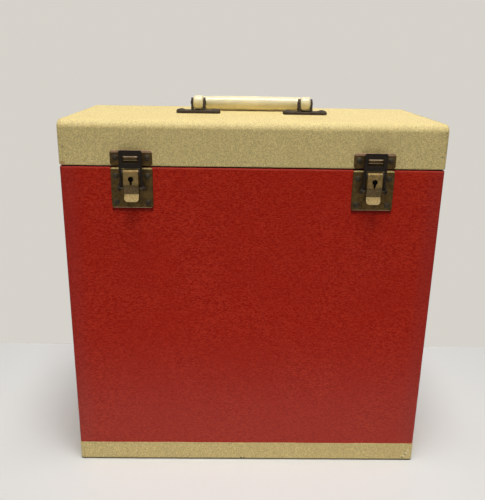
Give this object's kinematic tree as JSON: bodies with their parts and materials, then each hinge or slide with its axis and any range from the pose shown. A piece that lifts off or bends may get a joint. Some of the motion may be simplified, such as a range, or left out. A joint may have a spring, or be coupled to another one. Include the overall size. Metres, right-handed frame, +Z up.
{
  "type": "record carrying case",
  "caption": "Upright cloth-covered box with a hinged lid, front draw latches with key locks and a folding grip handle on top.",
  "frame": {"origin": "centre of the underside, on the surface that the case stands on", "axes": "+Z up, -Y towards the latched front, +X to the right of someone who faces the front"},
  "size_m": [0.35, 0.1841, 0.3694],
  "materials": {
    "red_cloth": "grained coated cloth, satin",
    "cream_cloth": "grained coated cloth, satin",
    "base_board": "dull",
    "lining_paper": "dull",
    "wood_board": "plain",
    "grip_plastic": "polished",
    "bronzed_steel": "dark brass wash",
    "steel_pins": "plain",
    "hinge_steel": "dark brass wash",
    "lever_brass": "worn brass plate",
    "dark_link": "oxidised",
    "rivet_brass": "worn",
    "lock_steel": "plain"
  },
  "bodies": {
    "case": {"base_band": "cream_cloth", "base_sheet": "base_board", "body_back_board": "wood_board", "body_back_liner": "lining_paper", "body_cloth": "red_cloth", "body_floor_board": "wood_board", "body_front_board": "wood_board", "body_front_liner": "lining_paper", "body_left_board": "wood_board", "body_left_liner": "lining_paper", "body_right_board": "wood_board", "body_right_liner": "lining_paper", "hinge_body_rivets": "hinge_steel", "hinge_left_body_leaf": "hinge_steel", "hinge_pins": "steel_pins", "hinge_right_body_leaf": "hinge_steel", "latch_base_rivets": "rivet_brass", "latch_left_base_plate": "bronzed_steel", "latch_left_lever_pin": "steel_pins", "latch_left_lock_keeper": "lock_steel", "latch_left_pivot_ears": "lock_steel", "latch_right_base_plate": "bronzed_steel", "latch_right_lever_pin": "steel_pins", "latch_right_lock_keeper": "lock_steel", "latch_right_pivot_ears": "lock_steel"},
    "lid": {"handle_backing_washers": "steel_pins", "handle_left_plate": "bronzed_steel", "handle_pins": "steel_pins", "handle_right_plate": "bronzed_steel", "handle_rivets": "steel_pins", "hinge_left_lid_leaf": "hinge_steel", "hinge_lid_rivets": "hinge_steel", "hinge_right_lid_leaf": "hinge_steel", "latch_catch_rivets": "rivet_brass", "latch_left_catch_plate": "bronzed_steel", "latch_right_catch_plate": "bronzed_steel", "lid_back_board": "wood_board", "lid_cloth": "cream_cloth", "lid_front_board": "wood_board", "lid_left_board": "wood_board", "lid_paper": "lining_paper", "lid_right_board": "wood_board", "lid_top_board": "wood_board"},
    "grip": {"handle_grip": "grip_plastic"},
    "left_lever": {"latch_left_lever": "lever_brass", "latch_left_link_pins": "steel_pins", "latch_left_lock_plate": "lock_steel"},
    "left_link": {"latch_left_link": "dark_link"},
    "left_lock_cam": {"latch_left_lock_cam": "lock_steel"},
    "right_lever": {"latch_right_lever": "lever_brass", "latch_right_link_pins": "steel_pins", "latch_right_lock_plate": "lock_steel"},
    "right_link": {"latch_right_link": "dark_link"},
    "right_lock_cam": {"latch_right_lock_cam": "lock_steel"}
  },
  "joints": [
    {"name": "lid_hinge", "type": "hinge", "parent": "case", "child": "lid", "pos_m": [0, 0.0879, 0.3115], "axis": [-1, 0, 0], "range_deg": [0, 180]},
    {"name": "handle_swing", "type": "hinge", "parent": "lid", "child": "grip", "pos_m": [0, 0, 0.3623], "axis": [1, 0, 0], "range_deg": [0, 188.9]},
    {"name": "left_lever_swing", "type": "hinge", "parent": "case", "child": "left_lever", "pos_m": [-0.11, -0.0892, 0.3065], "axis": [-1, 0, 0], "range_deg": [0, 150]},
    {"name": "left_link_swing", "type": "hinge", "parent": "left_lever", "child": "left_link", "pos_m": [-0.11, -0.0889, 0.292], "axis": [-1, 0, 0], "range_deg": [-180, 0]},
    {"name": "left_lock_turn", "type": "hinge", "parent": "left_lever", "child": "left_lock_cam", "pos_m": [-0.11, -0.088, 0.301], "axis": [0, -1, 0], "range_deg": [0, 90]},
    {"name": "right_lever_swing", "type": "hinge", "parent": "case", "child": "right_lever", "pos_m": [0.11, -0.0892, 0.3065], "axis": [-1, 0, 0], "range_deg": [0, 150]},
    {"name": "right_link_swing", "type": "hinge", "parent": "right_lever", "child": "right_link", "pos_m": [0.11, -0.0889, 0.292], "axis": [-1, 0, 0], "range_deg": [-180, 0]},
    {"name": "right_lock_turn", "type": "hinge", "parent": "right_lever", "child": "right_lock_cam", "pos_m": [0.11, -0.088, 0.301], "axis": [0, -1, 0], "range_deg": [0, 90]}
  ],
  "couplings": [
    {"joint": "left_link_swing", "follows": "left_lever_swing", "ratio": -1.2},
    {"joint": "right_link_swing", "follows": "right_lever_swing", "ratio": -1.2}
  ]
}
